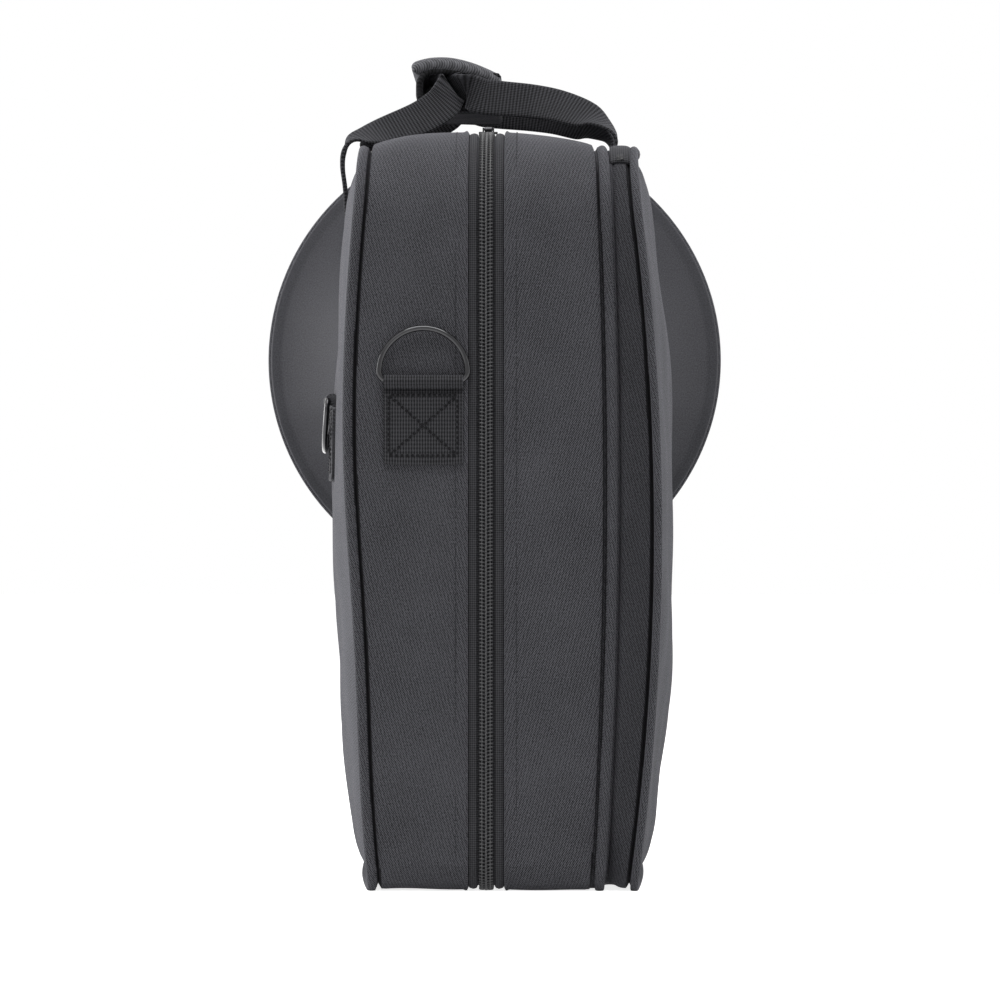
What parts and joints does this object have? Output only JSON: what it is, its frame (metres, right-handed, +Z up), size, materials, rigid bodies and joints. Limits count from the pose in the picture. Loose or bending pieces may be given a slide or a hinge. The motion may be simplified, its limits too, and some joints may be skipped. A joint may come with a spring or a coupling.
{
  "type": "flared instrument carry case",
  "caption": "Soft padded clamshell carry case with a narrow body, a round flared drum at the back, carry handles, strap rings and a side pocket.",
  "frame": {"origin": "middle of the whole case's footprint, on the surface it stands on", "axes": "+X across the narrow side towards the pocket, +Y from the front towards the drum, +Z up"},
  "size_m": [0.344, 0.5504, 0.5664],
  "materials": {
    "cloth": "fine twill-woven polyester, matt",
    "webbing": "ribbed polypropylene webbing",
    "zip_coil": "nylon coil, satin",
    "metal": "black nickel, glossy",
    "moulded": "cloth-faced moulded foam, smooth satin",
    "lining": "short plush",
    "foam": "plush over cut foam",
    "grip_cloth": "neoprene with cloth facing, matt"
  },
  "bodies": {
    "base": {"left_gusset": "cloth", "left_side_panel": "cloth", "left_flare": "moulded", "left_drum_band": "moulded", "left_end_cap": "moulded", "left_lining": "lining", "left_drum_lining": "lining", "left_zip_tape": "webbing", "left_zip_coil": "zip_coil", "left_piping": "cloth", "left_rim_piping": "cloth", "left_hinge_leaf": "webbing", "left_cradle": "foam", "left_drum_pad": "foam", "left_strap": "webbing", "front_ring_patch": "webbing", "side_ring_patch": "webbing", "grip_pad": "grip_cloth"},
    "lid": {"right_gusset": "cloth", "right_side_panel": "cloth", "right_flare": "moulded", "right_drum_band": "moulded", "right_end_cap": "moulded", "right_lining": "lining", "right_drum_lining": "lining", "right_zip_tape": "webbing", "right_zip_coil": "zip_coil", "right_piping": "cloth", "right_rim_piping": "cloth", "right_hinge_leaf": "webbing", "right_cradle": "foam", "right_drum_pad": "foam", "right_strap": "webbing", "pocket_gusset": "cloth", "pocket_face": "cloth", "pocket_piping": "cloth", "pocket_zip_tape": "webbing", "pocket_zip_coil": "zip_coil"},
    "front_ring": {"front_ring": "metal"},
    "side_ring": {"side_ring": "metal"},
    "front_slider": {"front_slider": "metal"},
    "rear_slider": {"rear_slider": "metal"},
    "front_pull": {"front_pull": "metal"},
    "rear_pull": {"rear_pull": "metal"},
    "pocket_slider": {"pocket_slider": "metal"},
    "pocket_pull": {"pocket_pull": "metal"},
    "grip_flap": {"grip_flap": "grip_cloth"}
  },
  "joints": [
    {"name": "lid_hinge", "type": "hinge", "parent": "base", "child": "lid", "pos_m": [0, 0, 0], "axis": [0, 1, 0], "range_deg": [0, 175]},
    {"name": "front_ring_swing", "type": "hinge", "parent": "base", "child": "front_ring", "pos_m": [-0.041, -0.2713, 0.335], "axis": [1, 0, 0], "range_deg": [0, 172]},
    {"name": "side_ring_swing", "type": "hinge", "parent": "base", "child": "side_ring", "pos_m": [-0.10809, -0.1494, 0.325], "axis": [0, 1, 0], "range_deg": [0, 165]},
    {"name": "front_slider_run", "type": "slide", "parent": "base", "child": "front_slider", "axis": [0, -0.9989, -0.0463], "range_m": [0, 0.045]},
    {"name": "rear_slider_run", "type": "slide", "parent": "base", "child": "rear_slider", "axis": [0, 0.9989, 0.0463], "range_m": [0, 0.09]},
    {"name": "front_pull_swing", "type": "hinge", "parent": "front_slider", "child": "front_pull", "pos_m": [0, -0.14758, 0.50955], "axis": [1, 0, 0], "range_deg": [0, 150]},
    {"name": "rear_pull_swing", "type": "hinge", "parent": "rear_slider", "child": "rear_pull", "pos_m": [0, 0.07741, 0.51997], "axis": [-1, 0, 0], "range_deg": [0, 150]},
    {"name": "pocket_slider_run", "type": "slide", "parent": "lid", "child": "pocket_slider", "axis": [0, -0.9991, -0.0415], "range_m": [0, 0.19]},
    {"name": "pocket_pull_swing", "type": "hinge", "parent": "pocket_slider", "child": "pocket_pull", "pos_m": [0.097, -0.00157, 0.5054], "axis": [-1, 0, 0], "range_deg": [0, 150]},
    {"name": "grip_flap_fold", "type": "hinge", "parent": "base", "child": "grip_flap", "pos_m": [-0.052, -0.0274, 0.5644], "axis": [0, -1, 0], "range_deg": [0, 115]}
  ]
}
